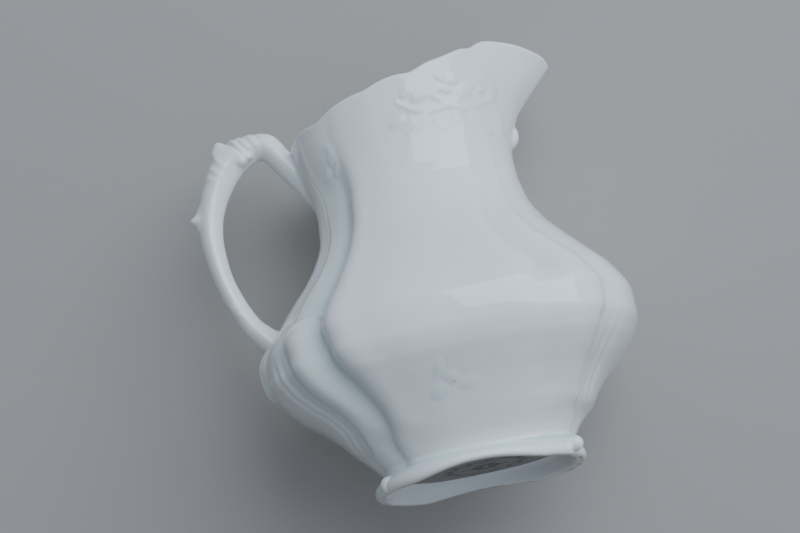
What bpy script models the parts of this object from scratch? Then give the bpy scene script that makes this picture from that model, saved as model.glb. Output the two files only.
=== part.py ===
"""Moulded porcelain cream jug on a bracket foot, with a cast side handle.

Units are metres, +Z is up, the spout points along +X and the handle along -X.
The jug is symmetrical about the XZ plane and stands on Z = 0. Its sections are
given in millimetres from the middle of the foot; the finished pieces are then
moved so that the origin is the middle of the bounding box's base.
"""

import math

import bmesh
import bpy
import numpy as np

# ---- overall ----
MM = 0.001
SEAM = 0.35 * MM  # air gap left between neighbouring pieces
WALL = 3.2 * MM  # body wall
MEAN_RADIUS = 45.0  # of the belly, for the slant of its grooves (mm)
BASE_THICKNESS = 3.4 * MM  # floor of the body
COLUMNS = 36  # loft columns over one half of the jug

# ---- body profile: height, reach to the spout, reach to the handle, half depth (mm) ----
WAIST_Z = 6.4
NECK_Z = 88.0
PROFILE = (
    (6.4, 30.4, 29.2, 25.6),
    (9.0, 31.0, 30.4, 26.6),
    (12.0, 33.4, 33.0, 28.8),
    (15.5, 37.2, 36.2, 31.6),
    (19.3, 39.8, 39.4, 34.4),
    (23.5, 43.4, 43.6, 37.6),
    (28.9, 49.4, 50.0, 42.0),
    (33.2, 53.2, 53.8, 45.2),
    (38.6, 55.8, 56.4, 47.4),
    (44.8, 55.9, 56.4, 48.0),
    (52.6, 52.6, 52.2, 45.8),
    (60.1, 46.4, 46.4, 42.0),
    (66.5, 40.8, 40.9, 38.2),
    (72.8, 35.9, 36.8, 34.6),
    (80.0, 32.2, 33.8, 31.2),
    (88.0, 30.3, 32.9, 28.8),
)
PROFILE_ROWS = 24

# ---- neck and lip: share of the way up, plain spout-side reach, spout, handle side, depth (mm) ----
LIP = (
    (0.00, 30.3, 0.0, 32.9, 28.8),
    (0.20, 30.0, 0.0, 33.2, 27.9),
    (0.40, 30.8, 0.6, 34.3, 27.7),
    (0.60, 32.0, 2.2, 35.6, 28.3),
    (0.80, 33.2, 7.2, 36.6, 29.4),
    (1.00, 34.2, 13.0, 37.0, 30.6),
)
LIP_ROWS = 11
SPOUT_SPREAD = 21.0  # degrees either side of the spout's middle
SPOUT_ROUNDING = 4.0  # degrees over which the dip of the rim at the spout is rounded

# ---- height of the rim by direction from the spout tip, degrees and mm ----
RIM = (
    (0.0, 120.9),
    (7.0, 124.2),
    (18.0, 127.0),
    (30.0, 128.0),
    (45.0, 125.8),
    (62.0, 122.4),
    (84.0, 119.4),
    (105.0, 117.4),
    (125.0, 115.2),
    (145.0, 113.2),
    (165.0, 112.4),
    (180.0, 112.2),
)
RIM_DIPS = ((12.0, 0.7, 4.0), (46.0, 0.9, 4.0), (82.0, 1.3, 5.0), (138.0, 1.4, 5.0))

# ---- moulded lobes: where the grooves run, as the cosine of the scaled angle, by height ----
FACE_BACK = ((6.4, 0.70), (11.5, 0.69), (17.5, 0.625), (22.7, 0.605), (28.5, 0.60), (33.7, 0.625),
             (38.4, 0.64), (48.0, 0.67), (52.0, 0.675), (58.0, 0.66), (69.0, 0.67), (82.0, 0.68),
             (90.0, 0.67), (130.0, 0.64))
CORNER_FRONT = ((6.4, 0.94), (10.3, 0.928), (14.8, 0.864), (21.9, 0.829), (27.6, 0.80), (33.5, 0.785),
                (39.0, 0.80), (44.4, 0.803), (50.0, 0.787), (55.0, 0.76), (60.0, 0.725), (66.0, 0.70),
                (74.0, 0.73), (84.0, 0.775), (95.0, 0.80), (130.0, 0.80))
CORNER_BACK = ((6.4, 0.93), (11.0, 0.915), (16.4, 0.87), (19.0, 0.82), (24.0, 0.81), (33.0, 0.82),
               (38.0, 0.822), (46.7, 0.845), (60.0, 0.855), (71.0, 0.861), (79.0, 0.887), (92.0, 0.912),
               (101.0, 0.932), (130.0, 0.96))
SHOULDER = ((40.0, 0.50), (46.0, 0.53), (53.0, 0.571), (57.6, 0.551), (62.0, 0.512), (68.0, 0.504), (77.0, 0.575),
            (91.0, 0.66), (130.0, 0.68))
GROOVE_WIDTH = 0.105  # radians of the section
FACE_DEPTH = ((6.4, 0.4), (14.0, 1.0), (24.0, 1.5), (34.0, 1.9), (50.0, 2.2), (66.0, 1.9),
              (80.0, 1.3), (94.0, 0.6), (104.0, 0.2), (130.0, 0.0))
CORNER_DEPTH = ((6.4, 0.5), (14.0, 1.2), (24.0, 1.7), (36.0, 1.6), (48.0, 1.5), (60.0, 1.3),
                (76.0, 0.9), (92.0, 0.4), (104.0, 0.1), (130.0, 0.0))
SQUARENESS = ((0.0, 2.35), (20.0, 2.35), (45.0, 2.3), (70.0, 2.2), (95.0, 2.1), (130.0, 2.0))

# ---- foot ----
FOOT_ROWS = ((6.05, 29.6, 25.0), (4.9, 29.9, 25.5), (3.6, 30.9, 26.6), (2.3, 31.9, 27.6),
             (1.1, 32.1, 27.9), (0.3, 31.6, 27.4), (0.0, 30.9, 26.7))
FOOT_INSIDE = ((0.0, 28.7, 24.4), (0.5, 28.1, 23.8), (2.6, 27.5, 23.2), (6.05, 26.6, 22.4))
FOOT_ARCH = 1.9  # rise in the middle of each long side
FOOT_ARCH_HALF = 19.0  # half length of the arch along X
FOOT_COLUMNS = 40
KNOB_RADIUS = 2.5
KNOB_POSITION = (28.9, 15.4, 2.6)

# ---- handle: centre line X and Z, half thickness in the XZ plane, half width in Y (mm) ----
HANDLE = (
    (-41.6, 112.9, 3.8, 4.6),
    (-43.0, 115.0, 4.1, 4.5),
    (-45.0, 116.9, 4.4, 4.4),
    (-48.0, 117.3, 4.5, 4.4),
    (-51.6, 116.6, 5.0, 4.5),
    (-55.2, 115.0, 5.4, 4.6),
    (-58.3, 112.0, 5.2, 4.5),
    (-61.2, 107.6, 4.7, 4.3),
    (-64.0, 101.8, 4.2, 4.1),
    (-65.7, 95.9, 3.8, 3.9),
    (-66.3, 89.4, 3.5, 3.7),
    (-65.8, 82.8, 3.2, 3.5),
    (-64.7, 76.3, 3.0, 3.4),
    (-62.9, 70.2, 3.0, 3.5),
    (-60.8, 64.8, 3.1, 3.6),
    (-58.5, 60.2, 3.3, 3.9),
    (-56.0, 56.9, 3.6, 4.3),
)
HANDLE_STEPS = 3  # loft rings for each span of the centre line
HANDLE_SIDES = 16
PEAK = ((-58.9, 119.4), 2.8, (0.9, 1.0, 1.1))  # thumb point: place, radius, stretch
SPUR = ((-69.8, 96.9), 1.9, (1.1, 1.0, 1.6))  # thorn on the outer edge
LEAF_TIP = ((-53.0, 111.2), 1.7, (1.7, 0.8, 0.8))  # leaf tip under the thumb rest
HANDLE_DETAILS = (PEAK, SPUR, LEAF_TIP)

# ---- slip joints between the handle and the body ----
ROOT_REACH = 26.0  # how far the uncut ends of the handle run on into the body (mm)
JOINT_FLARE = 1.17
JOINT_SIDES = 22
SLIP_NEAR = SEAM / MM  # the slip lies between these two distances from the body wall (mm)
SLIP_FAR = 1.5
SLOPE_ALLOWANCE = 1.25  # horizontal distance for each unit square to the sloping wall
LIP_CLEARANCE = 5.0  # height kept clear above the rim

# ---- leaf moulded on the body below the handle ----
LEAF_Z = 44.5
LEAF_HALF_HEIGHT = 7.0
LEAF_HALF_WIDTH = 5.8
LEAF_RISE = 2.2

# ---- bead under the spout: X, radius and Z ----
BEAD = (31.6, 2.1, 102.9)

# ---- glaze of each piece: colour and roughness ----
GLAZE_COAT = 0.4
GLAZES = {
    "jug_body": ((0.82, 0.84, 0.84), 0.08),
    "foot_ring": ((0.80, 0.83, 0.83), 0.10),
    "handle": ((0.82, 0.84, 0.84), 0.08),
    "upper_slip_joint": ((0.78, 0.82, 0.83), 0.10),
    "lower_slip_joint": ((0.78, 0.82, 0.83), 0.10),
}


def clear_scene():
    for item in list(bpy.data.objects):
        bpy.data.objects.remove(item, do_unlink=True)


def smooth_table(table, where, column=1):
    """Monotone cubic through the table's stations."""
    xs = np.array([row[0] for row in table], float)
    ys = np.array([row[column] for row in table], float)
    steps = np.diff(xs)
    slopes = np.diff(ys) / steps
    tangents = np.zeros(len(xs))
    tangents[0] = slopes[0]
    tangents[-1] = slopes[-1]
    for i in range(1, len(xs) - 1):
        if slopes[i - 1] * slopes[i] > 0:
            near = 2 * steps[i] + steps[i - 1]
            far = steps[i] + 2 * steps[i - 1]
            tangents[i] = (near + far) / (near / slopes[i - 1] + far / slopes[i])
    x = np.clip(np.asarray(where, float), xs[0], xs[-1])
    i = np.clip(np.searchsorted(xs, x) - 1, 0, len(xs) - 2)
    t = (x - xs[i]) / steps[i]
    rise = (2 * t**3 - 3 * t**2 + 1) * ys[i] + (3 * t**2 - 2 * t**3) * ys[i + 1]
    lean = (t**3 - 2 * t**2 + t) * tangents[i] + (t**3 - t**2) * tangents[i + 1]
    return rise + lean * steps[i]


def groove_angle(table, z):
    return np.arccos(smooth_table(table, z))


def from_groove(scaled, table, z):
    """Distance from a groove, in groove widths, measured square to its run."""
    run = (groove_angle(table, z + 0.5) - groove_angle(table, z - 0.5)) * MEAN_RADIUS
    return (scaled - groove_angle(table, z)) / np.hypot(1.0, run) / GROOVE_WIDTH


def bell(value):
    return np.exp(-(value**2))


def lobed(angle, z, reach_spout, reach_handle, depth):
    """Distance from the axis of the squared, lobed section in one direction (mm)."""
    behind = np.cos(angle) < 0
    reach = np.where(behind, reach_handle, reach_spout)
    power = smooth_table(SQUARENESS, z)
    across = np.abs(np.cos(angle)) / reach
    along = np.abs(np.sin(angle)) / depth
    radius = (across**power + along**power) ** (-1.0 / power)
    scaled = np.arctan2(along, across)
    face_depth = smooth_table(FACE_DEPTH, z)
    corner_depth = smooth_table(CORNER_DEPTH, z)
    low = np.clip((54.0 - z) / 8.0, 0.0, 1.0)
    face = from_groove(scaled, FACE_BACK, z)
    corner = from_groove(scaled, CORNER_BACK, z)
    back = 1.4 * face_depth * bell(face) + corner_depth * bell(corner / 0.8)
    back = back - 0.4 * face_depth * bell(face - 1.7) - low * bell(corner - 1.45)
    shoulder = from_groove(scaled, SHOULDER, z)
    crease = from_groove(scaled, CORNER_FRONT, z)
    front = 0.9 * face_depth * (1.0 - low) * (bell(shoulder) - 0.3 * bell(shoulder - 1.8))
    front = front + corner_depth * (0.3 + 0.7 * low) * bell(crease / 0.8)
    return radius - np.where(behind, back, front)


def body_reaches(row):
    """Section of one loft row: lift share, spout reach, spout lip, handle reach, depth."""
    if row < PROFILE_ROWS:
        z = WAIST_Z + (NECK_Z - WAIST_Z) * row / PROFILE_ROWS
        spout_side, handle_side, depth = (smooth_table(PROFILE, z, column) for column in (1, 2, 3))
        return z, 0.0, spout_side, 0.0, handle_side, depth
    share = (row - PROFILE_ROWS) / LIP_ROWS
    plain, spout, handle, depth = (smooth_table(LIP, share, column) for column in (1, 2, 3, 4))
    return NECK_Z, share, plain, spout, handle, depth


def rim_height(angle):
    degrees = np.degrees(angle)
    height = smooth_table(RIM, np.hypot(degrees, SPOUT_ROUNDING))
    for middle, dip, width in RIM_DIPS:
        height = height - dip * np.exp(-(((degrees - middle) / width) ** 2))
    return height


def body_point(row, angle, inset):
    """Point of the body surface in mm, moved inwards by inset."""
    z, share, plain, spout, handle, depth = body_reaches(row)
    height = z + share * (rim_height(angle) - NECK_Z)
    radius = lobed(angle, height, plain, handle, depth)
    radius = radius + spout * np.exp(-((np.degrees(angle) / SPOUT_SPREAD) ** 2))
    if inset == 0:
        across = (math.pi - angle) * radius / LEAF_HALF_WIDTH
        up = (height - LEAF_Z) / LEAF_HALF_HEIGHT
        radius = radius + LEAF_RISE * math.exp(-(across**2) - up**4)
    radius = radius - inset
    return radius * math.cos(angle), radius * math.sin(angle), height


def loft(name, rings, collection, close=False):
    """Closed solid through half rings that run from +X to -X on the +Y side, mirrored in Y."""
    mesh = bmesh.new()
    grid = [[mesh.verts.new([value * MM for value in point]) for point in ring] for ring in rings]
    pairs = list(zip(grid, grid[1:]))
    if close:
        pairs.append((grid[-1], grid[0]))
    for lower, upper in pairs:
        for i in range(len(lower) - 1):
            mesh.faces.new((lower[i], lower[i + 1], upper[i + 1], upper[i]))
    if not close:
        for ring in (grid[0], grid[-1]):
            centre_x = sum(vert.co.x for vert in ring) / len(ring)
            centre = mesh.verts.new((centre_x, 0.0, ring[0].co.z))
            for i in range(len(ring) - 1):
                mesh.faces.new((ring[i], ring[i + 1], centre))
    bmesh.ops.recalc_face_normals(mesh, faces=mesh.faces)
    item = add_mesh(name, mesh, collection)
    mirror = item.modifiers.new("Mirror", "MIRROR")
    mirror.use_axis = (False, True, False)
    mirror.merge_threshold = 0.00001
    return item


def add_mesh(name, mesh, collection):
    data = bpy.data.meshes.new(name)
    mesh.to_mesh(data)
    mesh.free()
    item = bpy.data.objects.new(name, data)
    collection.objects.link(item)
    return item


def apply_modifiers(item):
    """Evaluated mesh put in place of the modifier stack, with its faces turned outwards."""
    depsgraph = bpy.context.evaluated_depsgraph_get()
    depsgraph.update()
    data = bpy.data.meshes.new_from_object(item.evaluated_get(depsgraph))
    item.modifiers.clear()
    item.data = data
    mesh = bmesh.new()
    mesh.from_mesh(data)
    bmesh.ops.remove_doubles(mesh, verts=mesh.verts, dist=0.000002)
    bmesh.ops.recalc_face_normals(mesh, faces=mesh.faces)
    if mesh.calc_volume(signed=True) < 0:
        bmesh.ops.reverse_faces(mesh, faces=mesh.faces)
    mesh.to_mesh(data)
    mesh.free()


def add_to(item, other, operation="UNION"):
    """Exact Boolean of item with other, which is used up."""
    step = item.modifiers.new("Boolean", "BOOLEAN")
    step.operation = operation
    step.solver = "EXACT"
    step.object = other
    apply_modifiers(item)
    bpy.data.objects.remove(other, do_unlink=True)


def ball(name, centre, radius, stretch, collection):
    mesh = bmesh.new()
    bmesh.ops.create_uvsphere(mesh, u_segments=16, v_segments=10, radius=radius * MM)
    item = add_mesh(name, mesh, collection)
    item.scale = stretch
    item.location = [value * MM for value in centre]
    return item


def material(name, colour, roughness):
    made = bpy.data.materials.new(name)
    made.use_nodes = True
    shader = made.node_tree.nodes["Principled BSDF"]
    shader.inputs["Base Color"].default_value = (*colour, 1.0)
    shader.inputs["Roughness"].default_value = roughness
    shader.inputs["Coat Weight"].default_value = GLAZE_COAT
    return made


def centre_on_base(pieces):
    """Move every piece along X so that the origin is midway along the whole jug."""
    reach = [vert.co.x for item in pieces for vert in item.data.vertices]
    shift = -(min(reach) + max(reach)) / 2
    for item in pieces:
        for vert in item.data.vertices:
            vert.co.x += shift


def build_body(collection):
    angles = np.linspace(0.0, math.pi, COLUMNS + 1)
    last = PROFILE_ROWS + LIP_ROWS
    wall = WALL / MM
    rings = [[body_point(row, angle, 0.0) for angle in angles] for row in range(last + 1)]
    lip = []
    for angle in angles:
        x, y, z = body_point(last, angle, wall * 0.45)
        lip.append((x, y, z + 0.55))
    rings.append(lip)
    inner_rows = [last - 0.2, last - 1, last - 2, last - 4, last - 6, last - 8, last - 10]
    inner_rows += list(range(PROFILE_ROWS - 1, 3, -2))
    for row in inner_rows:
        thickness = wall * (0.86 if row > last - 1 else 1.0)
        rings.append([body_point(row, angle, thickness) for angle in angles])
    floor_z = WAIST_Z + BASE_THICKNESS / MM
    for shrink, lift in ((0.86, 1.0), (0.62, 0.3), (0.30, 0.0)):
        ring = [body_point(1, angle, wall) for angle in angles]
        rings.append([(x * shrink, y * shrink, floor_z + lift) for x, y, z in ring])
    return loft("jug_body", rings, collection)


def foot_ring_point(angle, z, reach, depth):
    power = 2.35
    radius = ((abs(math.cos(angle)) / reach) ** power + (abs(math.sin(angle)) / depth) ** power)
    radius = radius ** (-1.0 / power)
    x = radius * math.cos(angle)
    y = radius * math.sin(angle)
    middle = max(0.0, 1.0 - (x / FOOT_ARCH_HALF) ** 2)
    lift = FOOT_ARCH * middle**1.5 * (1.0 - z / FOOT_ROWS[0][0])
    return x, y, z + lift


def build_foot(collection):
    angles = np.linspace(0.0, math.pi, FOOT_COLUMNS + 1)
    rows = FOOT_ROWS + FOOT_INSIDE
    rings = [[foot_ring_point(angle, *row) for angle in angles] for row in rows]
    foot = loft("foot_ring", rings, collection, close=True)
    apply_modifiers(foot)
    x, y, z = KNOB_POSITION
    for side_x in (1, -1):
        for side_y in (1, -1):
            knob = ball("knob", (x * side_x, y * side_y, z), KNOB_RADIUS, (1.0, 1.0, 1.0), collection)
            add_to(foot, knob)
    return foot


def handle_lines():
    """Evenly smoothed centre line with its half sizes."""
    count = (len(HANDLE) - 1) * HANDLE_STEPS
    stations = np.arange(len(HANDLE), dtype=float)
    where = np.linspace(0.0, len(HANDLE) - 1, count + 1)
    columns = []
    for column in range(4):
        table = [(station, HANDLE[int(station)][column]) for station in stations]
        columns.append(smooth_table(table, where))
    return np.stack(columns, axis=1)


def section_rings(mesh, line, runs, sides, grow=1.0):
    """Softened lozenge sections square to the runs, as rings of vertices."""
    rings = []
    for (x, z, thick, wide), (run_x, run_z) in zip(line, runs):
        ring = []
        for side in range(sides):
            turn = 2 * math.pi * side / sides
            out = grow * thick * math.copysign(abs(math.cos(turn)) ** 1.1, math.cos(turn))
            over = grow * wide * math.copysign(abs(math.sin(turn)) ** 1.1, math.sin(turn))
            place = (x - run_z * out, over, z + run_x * out)
            ring.append(mesh.verts.new([value * MM for value in place]))
        rings.append(ring)
    return rings


def skin(name, mesh, rings, collection):
    """Closed solid through full rings."""
    sides = len(rings[0])
    for lower, upper in zip(rings, rings[1:]):
        for i in range(sides):
            j = (i + 1) % sides
            mesh.faces.new((lower[i], lower[j], upper[j], upper[i]))
    mesh.faces.new(rings[0])
    mesh.faces.new(rings[-1])
    bmesh.ops.recalc_face_normals(mesh, faces=mesh.faces)
    return add_mesh(name, mesh, collection)


def straight_on(line, at_start):
    """End of the centre line, the way it points and the stretch that runs on into the body."""
    here, before = (line[0], line[1]) if at_start else (line[-1], line[-2])
    run = here[:2] - before[:2]
    run /= np.linalg.norm(run)
    beyond = np.array([*(here[:2] + run * ROOT_REACH), *here[2:]])
    return here, run, beyond


def build_handle(line, collection):
    """Cast handle, its two ends cut to the curve of the body with room for the slip."""
    runs = np.gradient(line[:, :2], axis=0)
    runs /= np.linalg.norm(runs, axis=1)[:, None]
    top, top_run, top_beyond = straight_on(line, True)
    low, low_run, low_beyond = straight_on(line, False)
    line = np.vstack([top_beyond, line, low_beyond])
    runs = np.vstack([-top_run, -top_run, runs[1:-1], low_run, low_run])
    mesh = bmesh.new()
    handle = skin("handle", mesh, section_rings(mesh, line, runs, HANDLE_SIDES), collection)
    for (x, z), radius, stretch in HANDLE_DETAILS:
        add_to(handle, ball("detail", (x, 0.0, z), radius, stretch, collection))
    add_to(handle, body_space(SLIP_FAR + SEAM / MM, collection), "DIFFERENCE")
    return handle


def body_space(clearance, collection):
    """Solid that fills the body's outline and stands out from it by the clearance (mm)."""
    angles = np.linspace(0.0, math.pi, COLUMNS + 1)
    rings = []
    for row in range(2, PROFILE_ROWS + LIP_ROWS + 1):
        ring = []
        for angle in angles:
            x, y, z = body_point(row, angle, 0.0)
            grow = 1.0 + clearance / math.hypot(x, y) * SLOPE_ALLOWANCE
            ring.append((x * grow, y * grow, z))
        rings.append(ring)
    rings.append([(x, y, z + LIP_CLEARANCE) for x, y, z in rings[-1]])
    return loft("body_space", rings, collection)


def build_joint(name, line, at_start, collection):
    """Pad of slip between one end of the handle and the body wall."""
    here, run, beyond = straight_on(line, at_start)
    mesh = bmesh.new()
    rings = section_rings(mesh, (here, beyond), (run, run), JOINT_SIDES, JOINT_FLARE)
    joint = skin(name, mesh, rings, collection)
    add_to(joint, body_space(SLIP_NEAR, collection), "DIFFERENCE")
    add_to(joint, body_space(SLIP_FAR, collection), "INTERSECT")
    return joint


def main():
    clear_scene()
    jug = bpy.data.collections.new("cream_jug")
    bpy.context.scene.collection.children.link(jug)
    body = build_body(jug)
    apply_modifiers(body)
    bead_x, bead_radius, bead_z = BEAD
    add_to(body, ball("bead", (bead_x, 0.0, bead_z), bead_radius, (1.0, 1.0, 1.0), jug))
    foot = build_foot(jug)
    line = handle_lines()
    handle = build_handle(line, jug)
    upper = build_joint("upper_slip_joint", line, True, jug)
    lower = build_joint("lower_slip_joint", line, False, jug)
    pieces = (body, foot, handle, upper, lower)
    for item in pieces:
        colour, roughness = GLAZES[item.name]
        item.data.materials.append(material(item.name + "_glaze", colour, roughness))
    centre_on_base(pieces)


main()
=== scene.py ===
import math

import bpy
import numpy as np
from mathutils import Matrix, Vector


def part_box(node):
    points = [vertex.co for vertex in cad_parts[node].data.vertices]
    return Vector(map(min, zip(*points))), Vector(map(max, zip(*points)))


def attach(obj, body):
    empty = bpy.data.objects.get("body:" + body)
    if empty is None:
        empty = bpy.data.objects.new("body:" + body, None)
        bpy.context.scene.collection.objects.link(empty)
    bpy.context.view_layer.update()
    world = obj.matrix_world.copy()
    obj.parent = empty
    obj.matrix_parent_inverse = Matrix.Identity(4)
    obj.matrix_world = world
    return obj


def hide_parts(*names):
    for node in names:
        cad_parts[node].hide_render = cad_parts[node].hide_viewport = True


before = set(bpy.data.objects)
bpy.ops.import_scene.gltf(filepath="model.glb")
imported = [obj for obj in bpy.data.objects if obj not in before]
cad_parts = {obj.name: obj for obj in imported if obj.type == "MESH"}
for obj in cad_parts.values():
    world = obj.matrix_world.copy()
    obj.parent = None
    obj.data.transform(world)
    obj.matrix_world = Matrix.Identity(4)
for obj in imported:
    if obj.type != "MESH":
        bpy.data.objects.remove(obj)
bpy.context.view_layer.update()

MM = 0.001
FOOT_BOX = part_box("foot_ring")
MIDDLE_X = (FOOT_BOX[0][0] + FOOT_BOX[1][0]) / 2  # the jug's own axis, in world X

# ---------------------------------------------------------------- shape of the body (mm)
# The jug stands on z = 0 with its spout towards +X and its handle towards -X.
NECK_Z = 88.0
# height, reach towards the spout, reach towards the handle, half depth
PROFILE = (
    (4.2, 30.2, 29.0, 25.4),
    (6.6, 29.9, 28.6, 25.1),
    (9.0, 31.0, 30.2, 26.4),
    (12.0, 33.4, 32.8, 28.8),
    (15.5, 37.2, 36.2, 31.6),
    (19.3, 39.8, 39.4, 34.4),
    (23.5, 43.4, 43.6, 37.6),
    (28.9, 49.4, 50.0, 42.0),
    (33.2, 53.2, 53.8, 45.2),
    (38.6, 55.8, 56.4, 47.4),
    (44.8, 55.9, 56.4, 48.0),
    (52.6, 52.6, 52.2, 45.8),
    (60.1, 46.4, 46.4, 42.0),
    (66.5, 40.8, 40.9, 38.2),
    (72.8, 35.9, 36.8, 34.6),
    (80.0, 32.2, 33.8, 31.2),
    (88.0, 30.3, 32.9, 28.8),
)
# share of the way from the neck to the rim, plain reach, added reach of the spout, reach towards
# the handle, half depth
LIP = (
    (0.00, 30.3, 0.0, 32.9, 28.8),
    (0.20, 30.0, 0.0, 33.2, 27.9),
    (0.40, 30.8, 0.6, 34.3, 27.7),
    (0.60, 32.0, 2.2, 35.6, 28.3),
    (0.80, 33.2, 7.2, 36.6, 29.4),
    (1.00, 34.2, 13.0, 37.0, 30.6),
)
SPOUT_SPREAD = 21.0  # degrees either side of the spout's middle
SPOUT_ROUNDING = 4.0  # degrees over which the dip of the rim at the spout is rounded
# degrees from the spout, height of the rim
RIM = (
    (0.0, 120.9),
    (7.0, 124.2),
    (18.0, 127.0),
    (30.0, 128.0),
    (45.0, 125.8),
    (62.0, 122.4),
    (84.0, 119.4),
    (105.0, 117.4),
    (125.0, 115.2),
    (145.0, 113.2),
    (165.0, 112.4),
    (180.0, 112.2),
)
# scallops: degrees from the spout, dip, spread in degrees
RIM_DIPS = ((12.0, 0.5, 5.0), (43.0, 0.9, 5.0), (82.0, 1.0, 6.5), (110.0, 0.6, 6.0), (142.0, 1.0, 7.0))
# where the grooves run round the section, as the cosine of the scaled angle, by height
FACE_FRONT = ((4.2, 0.60), (20.0, 0.572), (29.5, 0.52), (39.7, 0.516), (52.0, 0.50), (130.0, 0.50))
FACE_BACK = ((4.2, 0.70), (11.5, 0.69), (17.5, 0.625), (22.7, 0.605), (28.5, 0.60), (33.7, 0.625),
             (38.4, 0.64), (48.0, 0.67), (52.0, 0.675), (58.0, 0.66), (69.0, 0.67), (82.0, 0.68),
             (90.0, 0.67), (130.0, 0.64))
CORNER_FRONT = ((4.2, 0.94), (10.3, 0.928), (14.8, 0.864), (21.9, 0.829), (27.6, 0.80), (33.5, 0.785),
                (39.0, 0.80), (44.4, 0.803), (50.0, 0.787), (55.0, 0.76), (60.0, 0.725), (66.0, 0.70),
                (74.0, 0.73), (84.0, 0.775), (95.0, 0.80), (130.0, 0.80))
CORNER_BACK = ((4.2, 0.93), (11.0, 0.915), (14.2, 0.87), (19.0, 0.82), (24.0, 0.81), (33.0, 0.82),
               (38.0, 0.822), (46.7, 0.845), (60.0, 0.855), (71.0, 0.861), (79.0, 0.887), (92.0, 0.912),
               (101.0, 0.932), (130.0, 0.96))
SHOULDER = ((40.0, 0.50), (46.0, 0.53), (53.0, 0.571), (57.6, 0.551), (62.0, 0.512), (68.0, 0.504),
            (77.0, 0.575), (91.0, 0.66), (130.0, 0.68))
# depth of the valleys and of the creases, by height
FACE_DEPTH = ((4.2, 0.2), (14.0, 1.0), (24.0, 1.5), (34.0, 1.9), (50.0, 2.2), (66.0, 1.9),
              (80.0, 1.3), (94.0, 0.6), (104.0, 0.2), (130.0, 0.0))
CORNER_DEPTH = ((4.2, 0.4), (14.0, 1.2), (24.0, 1.7), (36.0, 1.6), (48.0, 1.5), (60.0, 1.3),
                (76.0, 0.9), (92.0, 0.4), (104.0, 0.1), (130.0, 0.0))
# grooves: share of the depth above, half width towards the end and towards the side (radians)
FACE_VALLEY = (1.95, 0.13, 0.07)
HANDLE_CREASE = (1.15, 0.10, 0.042)
SHOULDER_VALLEY = (1.55, 0.11, 0.08)
SPOUT_CREASE = (1.0, 0.12, 0.045)
FAINT_LINE = (0.5, 0.09, 0.09)
# crests: rise, how far past the groove they stand and half width (radians)
FACE_CREST = (0.4, 0.17, 0.09)
SHOULDER_CREST = (0.3, 0.17, 0.09)
HANDLE_CORNER_CREST = (1.3, 0.15, 0.08)
SPOUT_CORNER_CREST = (0.6, 0.17, 0.10)
NECK_HOLLOW = 1.3  # depth of the hollow between the valley and the crease on the handle's side
# heights between which a feature comes in, or goes out where the first is the higher
BELLY = (54.0, 46.0)
NECK_HOLLOW_FOOT = (50.6, 53.5)
NECK_HOLLOW_HEAD = (106.0, 92.0)
SHOULDER_FOOT = (43.0, 55.0)
SHOULDER_HEAD = (64.0, 86.0)
SHOULDER_LEFT = 0.2  # share of the shoulder valley that is left on the neck
HANDLE_CREST_FOOT = (14.0, 26.0)
SPOUT_CREST_FOOT = (10.0, 24.0)
FAINT_LINE_FOOT = (10.0, 20.0)
REED_FOOT = (10.0, 16.0)
HANDLE_REED_HEAD = (46.0, 38.0)
SPOUT_REED_HEAD = (38.0, 29.0)
REED_DEPTH = 0.5
REED_HALF_WIDTH = 0.024
# exponent of the section's outline, by height
SQUARENESS = ((0.0, 2.35), (20.0, 2.35), (45.0, 2.3), (70.0, 2.2), (95.0, 2.1), (130.0, 2.0))
REED_OFFSETS = (0.075, 0.140)  # radians past the crease
MEAN_RADIUS = 45.0
# oval petal on the shoulder of the corner lobe beside the handle
PETAL_TURN = 0.745
PETAL_HALF_TURN = 0.145
PETAL_Z = 44.6
PETAL_HALF_HEIGHT = 7.4
PETAL_EDGE = (0.5, 0.10)  # rise and half width of its rim
PETAL_SINK = 0.5  # depth of its middle
PETAL_FOOT = (37.5, 42.0)
WALL = 3.2
RIM_THICKNESS = 2.3
SPOUT_THICKENING = (1.0, 22.0)  # added thickness, and its spread in degrees


def smooth_table(table, where, column=1):
    """Monotone cubic through the table's stations."""
    xs = np.array([row[0] for row in table], float)
    ys = np.array([row[column] for row in table], float)
    steps = np.diff(xs)
    slopes = np.diff(ys) / steps
    tangents = np.zeros(len(xs))
    tangents[0] = slopes[0]
    tangents[-1] = slopes[-1]
    for i in range(1, len(xs) - 1):
        if slopes[i - 1] * slopes[i] > 0:
            near = 2 * steps[i] + steps[i - 1]
            far = steps[i] + 2 * steps[i - 1]
            tangents[i] = (near + far) / (near / slopes[i - 1] + far / slopes[i])
    x = np.clip(np.asarray(where, float), xs[0], xs[-1])
    i = np.clip(np.searchsorted(xs, x) - 1, 0, len(xs) - 2)
    t = (x - xs[i]) / steps[i]
    rise = (2 * t**3 - 3 * t**2 + 1) * ys[i] + (3 * t**2 - 2 * t**3) * ys[i + 1]
    lean = (t**3 - 2 * t**2 + t) * tangents[i] + (t**3 - t**2) * tangents[i + 1]
    return rise + lean * steps[i]


def along_stations(table, count):
    """Every column of a table, smoothly read at evenly spaced places from its first row to its last."""
    where = np.linspace(0, len(table) - 1, count)
    columns = []
    for column in range(len(table[0])):
        columns.append(smooth_table([(k, row[column]) for k, row in enumerate(table)], where))
    return where, np.stack(columns, axis=1)


def bell(value, width):
    """Smooth bump: 1 at nought, falling away over the width."""
    return np.exp(-((value / width) ** 2))


def step_between(low, high, value):
    """Smooth step from 0 at low to 1 at high."""
    t = np.clip((value - low) / (high - low), 0.0, 1.0)
    return t * t * (3 - 2 * t)


def folded(angle):
    """Direction from the spout as 0 to pi, the same on both sides of the jug."""
    wrapped = np.mod(angle + math.pi, 2 * math.pi) - math.pi
    return np.abs(wrapped)


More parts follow.
